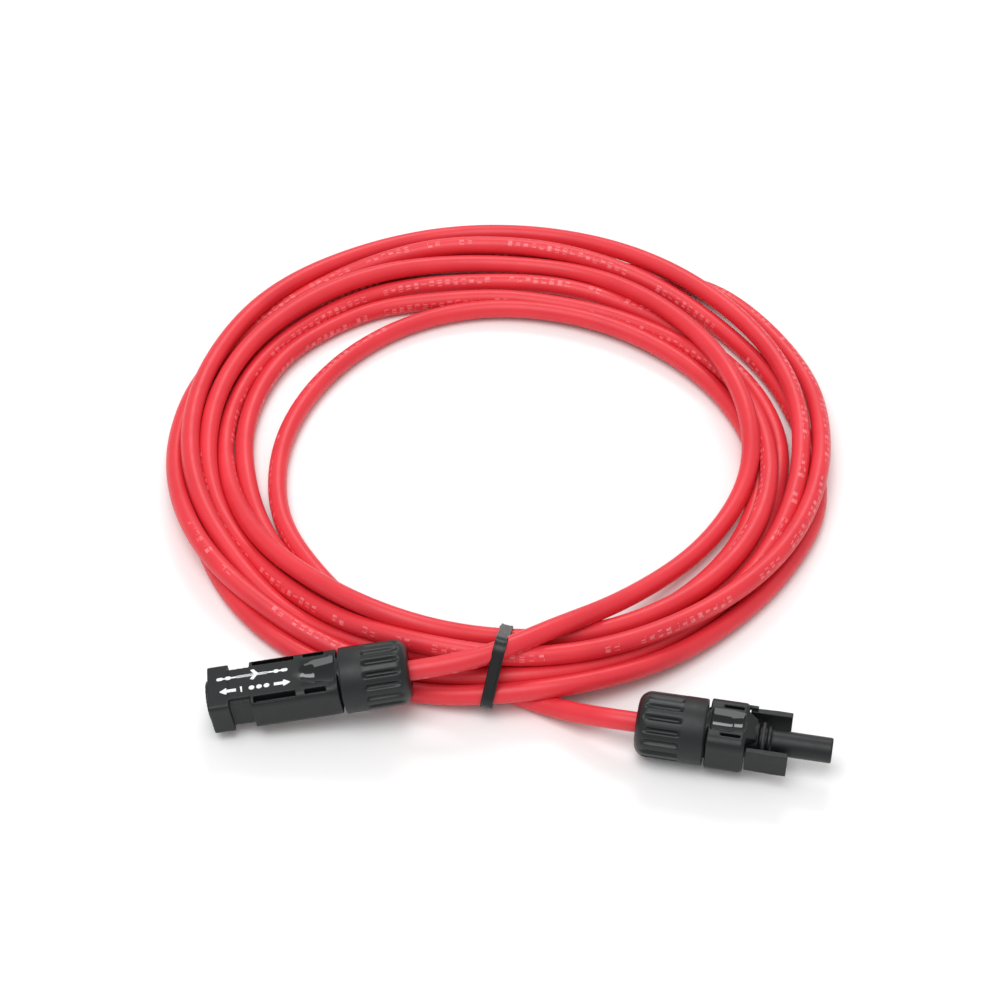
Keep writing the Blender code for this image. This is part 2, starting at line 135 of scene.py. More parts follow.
def sheath_material():
    s = Nodes('sheath_red')
    uv = s.new('ShaderNodeUVMap', uv_map='run')
    sep = s.new('ShaderNodeSeparateXYZ')
    s.put(sep, 0, uv.outputs[0])
    u, v = sep.outputs[0], sep.outputs[1]        # u: metres along, v: turn fraction, print at 0.5
    obj = s.coords()
    tone = s.noise(obj, 60.0, 4.0)
    base = s.ramp(tone, [(0.25, (0.68, 0.026, 0.040)), (0.75, (0.78, 0.036, 0.052))])
    # ink-jet legend: random dots, five rows high in cells like characters, unreadable on purpose
    col = s.math('FLOOR', s.math('DIVIDE', u, 0.00040))
    row = s.math('FLOOR', s.math('DIVIDE', s.math('SUBTRACT', v, 0.5), 0.0205))
    cell = s.math('FLOOR', s.math('DIVIDE', u, 0.0028))
    incol = s.math('SUBTRACT', col, s.math('MULTIPLY', cell, 7.0))
    key = s.new('ShaderNodeCombineXYZ')
    s.put(key, 0, s.math('FLOOR', s.math('DIVIDE', u, 0.0014)))
    s.put(key, 1, row)
    dots = s.new('ShaderNodeTexWhiteNoise', noise_dimensions='2D')
    s.put(dots, 'Vector', key.outputs[0])
    dot = s.math('GREATER_THAN', dots.outputs['Value'], 0.52)
    inrow = s.math('LESS_THAN', s.math('ABSOLUTE', s.math('ADD', row, 0.5)), 2.6)
    gap = s.math('LESS_THAN', incol, 3.5)
    word = s.new('ShaderNodeTexWhiteNoise', noise_dimensions='1D')
    s.put(word, 'W', s.math('FLOOR', s.math('DIVIDE', cell, 2.0)))
    words = s.math('GREATER_THAN', word.outputs['Value'], 0.18)
    legend = s.new('ShaderNodeTexWhiteNoise', noise_dimensions='1D')
    s.put(legend, 'W', s.math('FLOOR', s.math('DIVIDE', u, 0.092)))
    on = s.math('GREATER_THAN', legend.outputs['Value'], 0.30)
    mask = s.math('MULTIPLY', s.math('MULTIPLY', dot, inrow), s.math('MULTIPLY', gap, s.math('MULTIPLY', words, on)))
    wear = s.math('MULTIPLY', mask, s.math('MULTIPLY_ADD', s.noise(obj, 700.0, 2.0), 0.55, 0.0))
    s.put(s.b, 'Base Color', s.mix(wear, base, (0.98, 0.46, 0.48, 1)))
    s.put(s.b, 'Roughness', s.math('MULTIPLY_ADD', s.noise(obj, 260.0, 3.0), 0.16, 0.32))
    s.b.inputs['Specular IOR Level'].default_value = 0.42
    s.b.inputs['Subsurface Weight'].default_value = 0.06
    s.b.inputs['Subsurface Radius'].default_value = (0.0016, 0.0004, 0.0003)
    s.b.inputs['Subsurface Scale'].default_value = 1.0
    fine = s.noise(obj, 1500.0, 3.0, 0.6)
    drawn = s.new('ShaderNodeMapping')
    s.put(drawn, 'Vector', uv.outputs[0])
    drawn.inputs['Scale'].default_value = (6.0, 90.0, 1.0)
    lines = s.noise(drawn.outputs[0], 1.0, 2.0)
    s.bump(s.math('ADD', s.math('MULTIPLY', fine, 0.5), lines), 0.35, 0.00005)
    return s.m


def black_plastic(name, rgb=(0.0052, 0.0066, 0.0072), rough=0.45, grain=0.35):
    s = Nodes(name)
    obj = s.coords()
    base = s.ramp(s.noise(obj, 180.0, 4.0), [(0.3, tuple(c * 0.86 for c in rgb)), (0.7, tuple(c * 1.16 for c in rgb))])
    gloss = s.new('ShaderNodeAttribute', attribute_name='gloss').outputs['Fac']
    scuff = s.math('MULTIPLY_ADD', s.noise(obj, 420.0, 5.0, 0.6), 0.20, rough - 0.10)
    dull = s.math('MULTIPLY', scuff, s.math('SUBTRACT', 1.0, s.math('MULTIPLY', gloss, 0.84)))
    s.put(s.b, 'Base Color', base)
    s.put(s.b, 'Roughness', dull)
    s.b.inputs['Specular IOR Level'].default_value = 0.42
    height = s.math('MULTIPLY', s.noise(obj, 3200.0, 2.0, 0.6), s.math('SUBTRACT', 1.0, gloss))
    s.bump(height, grain, 0.00004)
    return s.m


def rubber(name):
    s = Nodes(name)
    obj = s.coords()
    s.put(s.b, 'Base Color', s.ramp(s.noise(obj, 300.0, 3.0), [(0.3, (0.018, 0.018, 0.019)), (0.7, (0.032, 0.032, 0.034))]))
    s.put(s.b, 'Roughness', s.math('MULTIPLY_ADD', s.noise(obj, 700.0, 3.0), 0.2, 0.38))
    s.bump(s.noise(obj, 2600.0, 3.0), 0.3, 0.00003)
    return s.m


def metal(name, lo, hi, rough):
    s = Nodes(name)
    obj = s.coords()
    stretch = s.new('ShaderNodeMapping')
    s.put(stretch, 'Vector', obj)
    stretch.inputs['Scale'].default_value = (1.0, 6.0, 6.0)
    grain = s.noise(stretch.outputs[0], 500.0, 4.0)
    s.put(s.b, 'Base Color', s.ramp(s.noise(obj, 260.0, 4.0), [(0.3, lo), (0.7, hi)]))
    s.b.inputs['Metallic'].default_value = 1.0
    s.put(s.b, 'Roughness', s.math('MULTIPLY_ADD', grain, 0.18, rough))
    s.bump(grain, 0.2, 0.00003)
    return s.m


SHEATH = sheath_material()
SHELL = black_plastic('moulded_black')
NUT = black_plastic('nut_black', (0.0078, 0.0092, 0.0098), 0.48, 0.5)
NYLON = black_plastic('tie_nylon', (0.0045, 0.0052, 0.0056), 0.36, 0.2)
SEAL = rubber('seal_rubber')
TIN = metal('tin_plate', (0.66, 0.66, 0.64), (0.82, 0.82, 0.80), 0.20)
STEEL = metal('spring_steel', (0.46, 0.46, 0.46), (0.62, 0.62, 0.61), 0.24)
COPPER = metal('tinned_strand', (0.58, 0.50, 0.44), (0.78, 0.72, 0.66), 0.28)


def ink_material():
    s = Nodes('pad_print_white')
    obj = s.coords()
    s.put(s.b, 'Base Color', s.ramp(s.noise(obj, 1400.0, 4.0), [(0.3, (0.62, 0.65, 0.66)), (0.6, (0.86, 0.88, 0.88))]))
    s.put(s.b, 'Roughness', s.math('MULTIPLY_ADD', s.noise(obj, 900.0, 2.0), 0.2, 0.45))
    s.bump(s.noise(obj, 2600.0, 2.0), 0.2, 0.00002)
    return s.m


INK = ink_material()

# ---- the cable's route ------------------------------------------------------
# Each turn as angle round the coil, kind, radius, height. Kind t gives the radius itself. Kind a gives the radius at
# which the strand covers the plane 6 mm up, seen along the lens's line, so a strand on top of others keeps its place.
TURNS = (
    "-90 a 87 18;-75 a 80 15;-60 a 77 10;-45 a 76.6 7;-30 a 78 6.5;-15 a 80.2 8;0 a 81.9 11;15 a 82.8 14;30 a 83.8 14;45 a 84.2 12;"
    "60 a 85.9 11;75 a 88 10;90 a 89.3 9.5;105 a 92 9;120 a 95 9;135 a 96.3 9;150 a 96.8 9;165 a 96.2 9.5;180 a 94.9 10;"
    "195 a 93.2 10;210 a 91.3 9.5;225 a 89.7 10;240 a 89.4 11;255 a 89.8 12",
    "-90 a 91.4 12;-75 a 92.3 11;-60 a 93 10;-45 a 95 9.5;-30 a 98.3 9.5;-15 a 101.2 9.5;0 a 103.7 9;15 a 105.9 6;30 a 105.5 4;"
    "45 a 104.3 3;60 t 100.5 3;75 t 97.5 3;90 t 95.5 3;105 t 94.5 3;120 t 94 3;135 t 94.5 3;150 t 95.5 3;165 t 96 3;180 t 97 3;"
    "195 t 99 3;210 t 101.6 3;225 a 105.3 3;240 a 106.7 4;255 a 105.7 7",
    "-90 a 103.6 9;-75 a 102.9 7;-60 a 102.7 4;-45 a 102.2 3;-30 a 103.2 3;-15 a 103.8 3;0 t 100.5 3;15 a 96 3;30 a 93.5 3.5;"
    "45 a 93.4 5;60 a 95.3 7;75 a 97.3 8.5;90 a 98.3 9;105 a 99.3 8;120 t 99.7 5.5;135 t 102 3.5;150 t 103.5 3;165 a 103.7 3;"
    "180 a 104.3 3.5;195 a 103.6 6;210 a 102 8.7;225 a 100 9;240 a 99.2 9.5;255 a 98 9.5",
    "-90 a 97 9;-75 a 96.5 7;-60 a 95.5 4.5;-45 a 94.5 4;-30 a 94.3 5.5;-15 a 95.3 8;0 a 97.3 9;15 a 100 9;30 a 101.5 9;"
    "45 a 102.3 9;60 a 103.4 9;75 a 105 9;90 a 106.2 9;105 a 106.5 9;120 a 106.3 9.5;135 a 105.7 9.5;150 a 104 9;165 a 102.4 8.5;"
    "180 a 100 7.5;195 a 97.4 6;210 a 95.2 4.5;225 t 94.5 3;240 t 95 4;255 t 96 7",
    "-90 t 97 6;-75 t 95 3.5;-60 t 93.3 3;-45 t 92.5 3;-30 t 92 3;-15 a 89.8 3.2;0 a 89.4 3.5;15 a 86.9 3.2;30 a 82.7 3;45 a 80 3;"
    "60 a 80.3 4;75 a 80.8 6;90 a 80 7.5;105 a 81.5 8;120 a 84.7 8.5;135 a 86.7 8.5;150 a 88.6 8;165 a 89.2 7;180 a 88.8 6;"
    "195 a 87.3 6;210 a 85 8;225 a 82.3 10;240 a 81.6 12.5;255 a 82 12",
    "-90 a 82.6 9.5;-75 a 84 9;-60 a 85.6 9;-45 a 87.1 9;-30 a 87.9 9;-15 a 87.3 9;0 a 85.8 9;15 t 82.5 9;30 t 78.5 9;45 a 76 9;"
    "60 a 72.6 9;75 a 70.6 9;90 a 71.3 8.5;105 a 72.4 7;120 a 76.5 4.5;135 a 80.1 3;150 a 83.3 3;165 a 83.4 3;180 a 82.8 3;"
    "195 a 82.6 3;210 a 83.4 3.5;225 t 83.5 5.5;240 t 86 9;255 t 88 7",
    "-90 t 90 4;-75 t 89.5 3;-60 t 89 3;-45 t 88.8 3;-30 t 88 3;-15 t 86 3;0 t 83.8 3;15 t 80.8 3;30 t 78 3;45 t 75.5 3;60 t 73.5 3;"
    "75 t 71.8 3;90 t 70.7 3;105 a 66.3 3;120 a 65.5 3;135 a 65.3 3;150 a 65.8 3;165 a 67.5 3;180 a 70 3;195 a 73.3 3;210 a 77.1 3;"
    "225 a 80.7 3;240 t 85 3;255 t 92.5 3;267 t 100 3;275 t 105 3",
)
LENS = np.array((0.0, -575.0, 575.4))      # where the route is seen from, mm from the coil's middle


def on_axis(m, x):
    """A point on a connector's axis, in millimetres from the coil's middle."""
    return np.array((m @ Vector((x, 0, 0))) / MM + SHIFT)


def control_points():
    pts = [(*on_axis(MALE, x), 0.0) for x in (-4.0, -12.0, -20.0, -25.0, -30.5)]
    for turn, words in enumerate(TURNS):
        for w in words.split(';'):
            a, kind, r, z = w.split()
            a, r, z = radians(float(a)), float(r), float(z)
            p = np.array((r * cos(a), r * sin(a), z))
            if kind == 'a':
                p[:2] += (LENS[:2] - p[:2]) * (z - 6.0) / (LENS[2] - 6.0)
            pts.append((*p, 1.0 if kind == 'a' else 0.35))
    pts.append((19.5, -109.6, 4.6, 0.1))
    pts += [(*on_axis(FEMALE, x), 0.0) for x in (-27.0, -20.0, -12.0, -4.0)]
    return np.array(pts)


def catmull(p, step):
    p = np.vstack([2 * p[0] - p[1], p, 2 * p[-1] - p[-2]])
    out = []
    for i in range(1, len(p) - 2):
        a, b, c, d = p[i - 1:i + 3]
        n = max(2, int(np.linalg.norm((c - b)[:3]) / step))
        t = np.arange(n)[:, None] / n
        out.append(0.5 * (2 * b + (c - a) * t + (2 * a - 5 * b + 4 * c - d) * t ** 2 + (3 * b - a - 3 * c + d) * t ** 3))
    out.append(p[-2][None])
    return np.vstack(out)


def resample(p, step):
    s = np.r_[0, np.cumsum(np.linalg.norm(np.diff(p[:, :3], axis=0), axis=1))]
    t = np.linspace(0, s[-1], int(round(s[-1] / step)) + 1)
    return np.stack([np.interp(t, s, p[:, k]) for k in range(p.shape[1])], 1)


def keep_out(m, v, free, nut, hy, hz, rc, nose):
    """Strands stay outside a connector: its cap nut with the nut's travel, and its housing."""
    rot = np.array(m.to_3x3()) / MM
    mid = on_axis(m, 0.0)
    q = (v - mid) @ rot
    x, y, z = q[:, 0], q[:, 1], q[:, 2]
    need = CABLE_D / 2 + 0.15
    r = np.hypot(y, z) + 1e-9
    hit = free & (x > -28.5) & (x < 1.5) & (r < nut + need)
    k = np.where(hit, (nut + need) / r, 1.0)
    y, z = y * k, z * k
    ey, ez = np.maximum(np.abs(y) - (hy - rc), 0) * np.sign(y), np.maximum(np.abs(z) - (hz - rc), 0) * np.sign(z)
    d = np.hypot(ey, ez) + 1e-9
    hit = free & (x >= 1.5) & (x < nose + 1.0) & (d < rc + need)
    grow = np.where(hit, (rc + need) / d - 1.0, 0.0)
    q = np.stack([x, y + ey * grow, z + ez * grow], 1)
    return mid + q @ rot.T


def clear(v, s_run):
    free = s_run > 30.0
    v = keep_out(MALE, v, free, 9.7, 8.8, 8.6, 4.4, 39.0)
    return keep_out(FEMALE, v, free, 9.7, 8.9, 8.9, 4.8, 25.0)


def settle(iters=700, step=4.0, knot=20.0, mu=0.15, fall=0.16):
    """Let the drawn route settle as a smooth stiff cable: no strand enters another or the floor, and each keeps its line."""
    d0 = CABLE_D
    p = resample(catmull(control_points(), 2.0), step)
    hold, x0 = np.clip(p[:, 3], 0, 1), p[:, :3].copy()
    n = len(x0)
    ray = x0 - LENS
    ray /= np.linalg.norm(ray, axis=1)[:, None]
    x = x0.copy()
    x[:, 2] = 3 + (x[:, 2] - 3) * 1.5
    x[:, :2] = (LENS + ray * ((x[:, 2] - LENS[2]) / ray[:, 2])[:, None])[:, :2]
    ne = 8
    x[:ne], x[-ne:] = x0[:ne], x0[-ne:]
    m = int((n - 1) * step / knot) + 3
    u = np.linspace(0, m - 3 - 1e-9, n)
    k = u.astype(int)
    f = u - k
    w, r = np.zeros((n, m)), np.arange(n)
    w[r, k] = (1 - f) ** 3 / 6
    w[r, k + 1] = (3 * f ** 3 - 6 * f ** 2 + 4) / 6
    w[r, k + 2] = (-3 * f ** 3 + 3 * f ** 2 + 3 * f + 1) / 6
    w[r, k + 3] = f ** 3 / 6
    wt = np.ones(n)
    wt[:ne] = wt[-ne:] = 60
    d2, j = np.zeros((m - 2, m)), np.arange(m - 2)
    d2[j, j], d2[j, j + 1], d2[j, j + 2] = 1, -2, 1
    wtw = (w * wt[:, None]).T @ w
    solve = np.linalg.solve(wtw + mu * d2.T @ d2, (w * wt[:, None]).T)
    xd = w @ np.linalg.solve(wtw, (w * wt[:, None]).T @ x0)
    skip = int(2.2 * d0 / step) + 1
    s_run = np.minimum(np.arange(n), np.arange(n)[::-1]) * step
    iu, ju = np.triu_indices(n, skip)
    for it in range(iters):
        v = x.copy()
        late = it > iters * 0.7
        v[:, 2] -= fall * 0.12 if late else fall
        q = v - LENS
        v -= (q - (q * ray).sum(1)[:, None] * ray) * ((0.06 if late else 0.12) * hold)[:, None]
        if it % 10 == 0:
            d = v[iu] - v[ju]
            near = (np.abs(d) < 16).all(1)
            ci, cj = iu[near], ju[near]
        for _ in range(6 if late else 3):
            d = v[ci] - v[cj]
            dist = np.linalg.norm(d, axis=1)
            hit = dist < d0 + 0.12
            if hit.any():
                a, b = ci[hit], cj[hit]
                push = 0.5 * (d0 + 0.12 - dist[hit])[:, None] * d[hit] / (dist[hit][:, None] + 1e-9)
                acc, cnt = np.zeros_like(v), np.zeros(n)
                np.add.at(acc, a, push)
                np.add.at(acc, b, -push)
                np.add.at(cnt, a, 1)
                np.add.at(cnt, b, 1)
                v += acc / np.maximum(cnt, 1)[:, None] ** 0.5
            v = clear(v, s_run)
            v[:, 2] = np.maximum(v[:, 2], d0 / 2 + 0.05)
        v[:ne], v[-ne:] = x0[:ne], x0[-ne:]
        x = xd + w @ (solve @ (v - xd))
    x[:, 2] = np.maximum(x[:, 2], d0 / 2)
    return x


ROUTE = settle()                               # mm, from the coil's middle


def sweep(name, path, radius, segs, material):
    """Tube along a path in millimetres from the coil's middle, with a lengthwise map whose middle faces the print side."""
    p = resample(path, 1.6)
    shift = np.array(SHIFT)
    t = np.gradient(p, axis=0)
    t /= np.linalg.norm(t, axis=1)[:, None]
    up = np.array((0, 0, 1.0))
    side = np.cross(t, up)
    side /= np.linalg.norm(side, axis=1)[:, None]
    top = np.cross(side, t)
    s = np.r_[0, np.cumsum(np.linalg.norm(np.diff(p, axis=0), axis=1))]
    n = len(p)
    # the printed line wanders round the sheath; outwards is side on a run with the coil's middle on its left
    lean = 1.9 * np.sin(s / 330.0 + 0.9) + 0.8 * np.sin(s / 131.0 + 2.0)
    verts = np.zeros((n, segs, 3))
    for k in range(segs):
        a = 2 * pi * k / segs + lean + pi
        verts[:, k] = p - shift + radius * (np.cos(a)[:, None] * top + np.sin(a)[:, None] * side)
    me = bpy.data.meshes.new(name)
    faces = []
    for i in range(n - 1):
        for k in range(segs):
            j = (k + 1) % segs
            faces.append((i * segs + k, i * segs + j, (i + 1) * segs + j, (i + 1) * segs + k))
    faces.append(tuple(range(segs)))
    faces.append(tuple((n - 1) * segs + k for k in reversed(range(segs))))
    me.from_pydata((verts.reshape(-1, 3) * MM).tolist(), [], faces)
    uv = me.uv_layers.new(name='run')
    co = np.zeros((len(me.loops), 2))
    c = 0
    for i in range(n - 1):
        for k in range(segs):
            co[c:c + 4] = ((s[i], k / segs), (s[i], (k + 1) / segs), (s[i + 1], (k + 1) / segs), (s[i + 1], k / segs))
            c += 4
    co[:, 0] *= MM
    uv.data.foreach_set('uv', co.ravel())
    bm = bmesh.new()
    bm.from_mesh(me)
    bmesh.ops.recalc_face_normals(bm, faces=bm.faces[:])
    bm.to_mesh(me)
    bm.free()
    me.shade_smooth()
    me.set_sharp_from_angle(angle=radians(50))
    me.materials.append(material)
    ob = bpy.data.objects.new(name, me)
    scene.collection.objects.link(ob)
    return ob, (p - shift) * MM, s[-1] * MM


cable, cable_path, cable_len = sweep('cable_lead', ROUTE, CABLE_D / 2, 24, SHEATH)
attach(cable, 'root')
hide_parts('cable_coil', 'cable_tail_male', 'cable_tail_female', 'male_cable_end', 'female_cable_end')


# ---- mesh helpers for the moulded pieces -------------------------------------
def ring(x, radius, n=96):
    out = []
    for k in range(n):
        t = 2 * pi * k / n
        r = radius(t) if callable(radius) else radius
        out.append((x, r * cos(t), r * sin(t)))
    return out


def rounded(hy, hz, rc):
    def f(t):
        c, s = abs(cos(t)) + 1e-9, abs(sin(t)) + 1e-9
        if hy / c * s <= hz - rc:
            return hy / c
        if hz / s * c <= hy - rc:
            return hz / s
        a, b = hy - rc, hz - rc
        k = a * c + b * s
        return k + sqrt(max(k * k - (a * a + b * b - rc * rc), 0.0))
    return f


def solid(name, verts, faces, m):
    me = bpy.data.meshes.new(name)
    me.from_pydata([(m @ Vector(v))[:] for v in verts], [], faces)
    bm = bmesh.new()
    bm.from_mesh(me)
    bmesh.ops.recalc_face_normals(bm, faces=bm.faces[:])
    bm.to_mesh(me)
    bm.free()
    ob = bpy.data.objects.new(name, me)
    scene.collection.objects.link(ob)
    return ob


def skin(rings, closed):
    verts, faces, n = [], [], len(rings[0])
    for r in rings:
        verts += r
    last = len(rings) if closed else len(rings) - 1
    for q in range(last):
        a, b = q * n, ((q + 1) % len(rings)) * n
        for i in range(n):
            j = (i + 1) % n
            faces.append((a + i, a + j, b + j, b + i))
    if not closed:
        faces.append(tuple(range(n)))
        faces.append(tuple(range((len(rings) - 1) * n, len(rings) * n)))
    return verts, faces


def box(name, lo, hi, m, rot_x=0.0, rot_z=0.0):
    v = [Vector((x, y, z)) for x in (lo[0], hi[0]) for y in (lo[1], hi[1]) for z in (lo[2], hi[2])]
    mid = Vector((0, 0, 0))
    r = Matrix.Rotation(radians(rot_x), 3, 'X') @ Matrix.Rotation(radians(rot_z), 3, 'Z')
    v = [tuple(r @ (q - mid)) for q in v]
    f = [(0, 1, 3, 2), (4, 6, 7, 5), (0, 4, 5, 1), (2, 3, 7, 6), (0, 2, 6, 4), (1, 5, 7, 3)]
    return solid(name, v, f, m)


def ball(name, at, size, m, nu=40, nv=20):
    rings = []
    for i in range(1, nv):
        a = pi * i / nv
        rings.append([(at[0] + size[0] * sin(a) * cos(2 * pi * k / nu), at[1] + size[1] * sin(a) * sin(2 * pi * k / nu),
                       at[2] + size[2] * cos(a)) for k in range(nu)])
    v, f = skin(rings, False)
    return solid(name, v, f, m)


def finish_mould(ob, adds, cuts, voxel, smooth, m, gloss, material):
    """Cut and join, then melt the edges a little as a moulding has them, and mark the polished places."""
    for i, c in enumerate(adds + cuts):
        b = ob.modifiers.new('b%d' % i, 'BOOLEAN')
        b.operation = 'UNION' if c in adds else 'DIFFERENCE'
        b.solver = 'EXACT'
        b.object = c
    r = ob.modifiers.new('melt', 'REMESH')
    r.mode = 'VOXEL'
    r.voxel_size = voxel * MM
    if smooth:
        sm = ob.modifiers.new('soft', 'SMOOTH')
        sm.factor = 0.5
        sm.iterations = smooth
    dg = bpy.context.evaluated_depsgraph_get()
    me = bpy.data.meshes.new_from_object(ob.evaluated_get(dg))
    name = ob.name
    for c in adds + cuts + [ob]:
        bpy.data.objects.remove(c, do_unlink=True)
    new = bpy.data.objects.new(name, me)
    me.name = name
    me.materials.clear()
    me.materials.append(material)
    inv = m.inverted()
    att = me.attributes.new('gloss', 'FLOAT', 'POINT')
    att.data.foreach_set('value', [gloss(inv @ v.co) for v in me.vertices])
    me.shade_smooth()
    scene.collection.objects.link(new)
    return new


def ramp(x, a, b):
    return max(0.0, min(1.0, (x - a) / (b - a)))


def tail_rings(n=96):
    """Threaded tail of a housing, hidden under the cap nut until it is unscrewed."""
    out = [ring(-10.0, 7.0, n)]
    x = -9.4
    while x < -1.4 + 1e-6:
        amp = 0.35 * max(0.0, min(1.0, min(x + 9.4, -1.4 - x) / 0.8))
        out.append(ring(x, lambda t, a=amp, q=x: 7.55 + a * cos(pi * q - t), n))
        x += 0.2
    return out + [ring(-1.0, 7.3, n), ring(0.6, 7.3, n)]


# ---- cap nuts -----------------------------------------------------------------
def cap_nut(name, m, body, node, spin):
    n = 288
    outer = [ring(-0.1, 9.35, n), ring(-0.18, 9.52, n), ring(-0.35, 9.65, n), ring(-0.6, 9.7, n), ring(-6.3, 9.7, n), ring(-6.55, 9.66, n)]

    def rib(depth, base):
        def f(t):
            w = (16 * (t + spin) / (2 * pi)) % 1.0
            q = abs(w - 0.5) * 2                      # 0 in the middle of a groove, 1 on the crown of a rib
            k = ramp(q, 0.10, 0.62)
            k = k * k * (3 - 2 * k)
            return base - depth * (1 - k)
        return f
    xs = [-6.8, -7.05, -7.3, -7.6, -8.0, -8.6, -9.5, -11.0, -13.0, -15.0, -16.0, -16.6, -17.0, -17.3, -17.6]
    for x in xs:
        rise = ramp(-x, 6.7, 8.2)
        fall = 1 - ramp(-x, 15.6, 17.7)
        d = 0.95 * (rise * (2 - rise)) * sqrt(max(0.0, fall))
        base = 9.66 - 0.05 * ramp(-x, 7, 16) - 0.28 * ramp(-x, 16.2, 17.7) ** 2
        outer.append(ring(x, rib(d, base), n))
    for x, r in ((-18.0, 9.18), (-18.5, 8.87), (-19.0, 8.45), (-19.4, 7.98), (-19.7, 7.45), (-19.9, 6.9), (-20.0, 6.3), (-20.0, 4.1), (-19.95, 3.75), (-19.75, 3.5), (-19.4, 3.45)):
        outer.append(ring(x, r, n))
    inner = [ring(-17.9, 3.45, n), ring(-17.7, 6.1, n), ring(-11.0, 6.9, n), ring(-9.9, 7.9, n)]
    x = -9.4
    while x < -1.4 + 1e-6:
        amp = 0.35 * max(0.0, min(1.0, min(x + 9.4, -1.4 - x) / 0.8))
        inner.append(ring(x, lambda t, a=amp, q=x: 7.97 + a * cos(pi * q - t), n))
        x += 0.25
    inner += [ring(-0.9, 8.3, n), ring(-0.1, 8.6, n)]
    v, f = skin(outer + inner, True)
    ob = solid(name, v, f, m)
    me = ob.data
    me.materials.append(NUT)
    att = me.attributes.new('gloss', 'FLOAT', 'POINT')
    inv = m.inverted()
    att.data.foreach_set('value', [0.25 * ramp(-(inv @ q.co).x, 6.7, 7.4) for q in me.vertices])
    me.shade_smooth()
    me.set_sharp_from_angle(angle=radians(55))
    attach(ob, body)
    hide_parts(node)
    return ob


cap_nut('pin_cap_nut', MALE, 'male_nut', 'male_cap_nut', 0.06)
cap_nut('socket_cap_nut', FEMALE, 'female_nut', 'female_cap_nut', 0.12)

VOX = 0.2

# ---- pin connector housing -----------------------------------------------------
def scoop(name, stations, rim, m):
    """Cutter for a thumb recess: stations of x, half width and floor height, with a dished floor up to the rim height."""
    rings = []
    for x, hw, zf in stations:
        row = [(x, hw * t / 12.0, zf + max(rim - zf, 0.0) * abs(t / 12.0) ** 2.4) for t in range(-12, 13)]
        rings.append(row + [(x, hw, 14.0), (x, -hw, 14.0)])
    v, f = skin(rings, False)
    return solid(name, v, f, m)


body = rounded(8.6, 6.1, 2.5)
root_section = rounded(8.8, 6.9, 4.4)
rings = tail_rings()
rings += [ring(0.65, rounded(8.5, 6.6, 4.2)), ring(0.9, root_section), ring(3.4, body), ring(14.0, body), ring(26.0, body), ring(32.5, body), ring(32.8, rounded(8.25, 5.95, 1.3)), ring(38.5, rounded(8.25, 5.95, 1.3)),
          ring(38.8, rounded(8.05, 5.9, 1.2)), ring(38.8, 5.8), ring(39.3, 5.8), ring(39.5, 5.65)]
rings += [ring(39.5, 5.45), ring(38.9, 5.3), ring(27.0, 5.3), ring(26.2, 4.2), ring(11.0, 4.2), ring(11.0, 2.5), ring(9.0, 2.5), ring(9.0, 4.3),
          ring(-3.6, 4.3), ring(-3.65, 6.0), ring(-10.0, 6.0)]
v, f = skin(rings, True)
pin_shell = solid('pin_housing', v, f, MALE)
cuts = []
for s, side in ((1, 'a'), (-1, 'b')):
    cuts.append(box('c_notch_' + side, (26.4, min(6.5 * s, 12 * s), -12.0), (32.7, max(6.5 * s, 12 * s), 12.0), MALE))
    for top in (1, -1):
        cuts.append(box('c_relief_%s%d' % (side, top), (26.4, min(5.5 * s, 12 * s), min(4.7 * top, 12 * top)), (32.7, max(5.5 * s, 12 * s), max(4.7 * top, 12 * top)), MALE))
    cuts.append(box('c_slot_' + side, (13.2, min(5.8 * s, 7.8 * s), 3.4), (25.4, max(5.8 * s, 7.8 * s), 12.0), MALE))
    cuts.append(box('c_short_' + side, (4.3, min(6.0 * s, 7.6 * s), 3.8), (10.4, max(6.0 * s, 7.6 * s), 12.0), MALE))
cuts.append(scoop('c_thumb', [(1.3, 5.3, 5.15), (7.4, 4.7, 5.0), (8.0, 4.6, 5.15), (10.4, 3.6, 5.5), (11.2, 3.1, 5.75), (14.6, 0.35, 6.2)], 6.3, MALE))
pin_shell = finish_mould(pin_shell, [], cuts, VOX, 4, MALE,
                         lambda q: ramp(q.z, 4.6, 4.9) * (1 - ramp(abs(q.y), 4.6, 5.2)) * ramp(q.x, 1.2, 1.4) * (1 - ramp(q.x, 11.0, 12.5)) * (1 - ramp(q.z, 6.0, 6.2)), SHELL)
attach(pin_shell, 'root')
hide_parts('male_housing')

# printed arrows, a thin raised film on the flat top
TOP = 6.1


def film(name, outline, m, z0, h=0.045):
    verts = [(x, y, z0) for x, y in outline] + [(x, y, z0 + h) for x, y in outline]
    n = len(outline)
    faces = [tuple(range(n))[::-1], tuple(range(n, 2 * n))] + [(i, (i + 1) % n, n + (i + 1) % n, n + i) for i in range(n)]
    ob = solid(name, verts, faces, m)
    ob.data.materials.append(INK)
    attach(ob, 'root')
    return ob


def bar(x0, x1, y, w):
    pts = []
    for k in range(9):
        a = pi / 2 + pi * k / 8
        pts.append((x0 + w / 2 + w / 2 * cos(a), y + w / 2 * sin(a)))
    for k in range(9):
        a = -pi / 2 + pi * k / 8
        pts.append((x1 - w / 2 + w / 2 * cos(a), y + w / 2 * sin(a)))
    return pts


def arrow(tip, back, y, w, head):
    """Arrow from back to tip along x."""
    s = 1 if tip > back else -1
    neck = tip - s * head
    pts = [(back, y - w / 2), (neck, y - w / 2), (neck, y - w * 0.95), (neck + s * 0.3, y - w * 1.05), (tip - s * 0.2, y - w * 0.2), (tip, y),
           (tip - s * 0.2, y + w * 0.2), (neck + s * 0.3, y + w * 1.05), (neck, y + w * 0.95), (neck, y + w / 2), (back, y + w / 2)]
    return pts if s > 0 else pts[::-1]


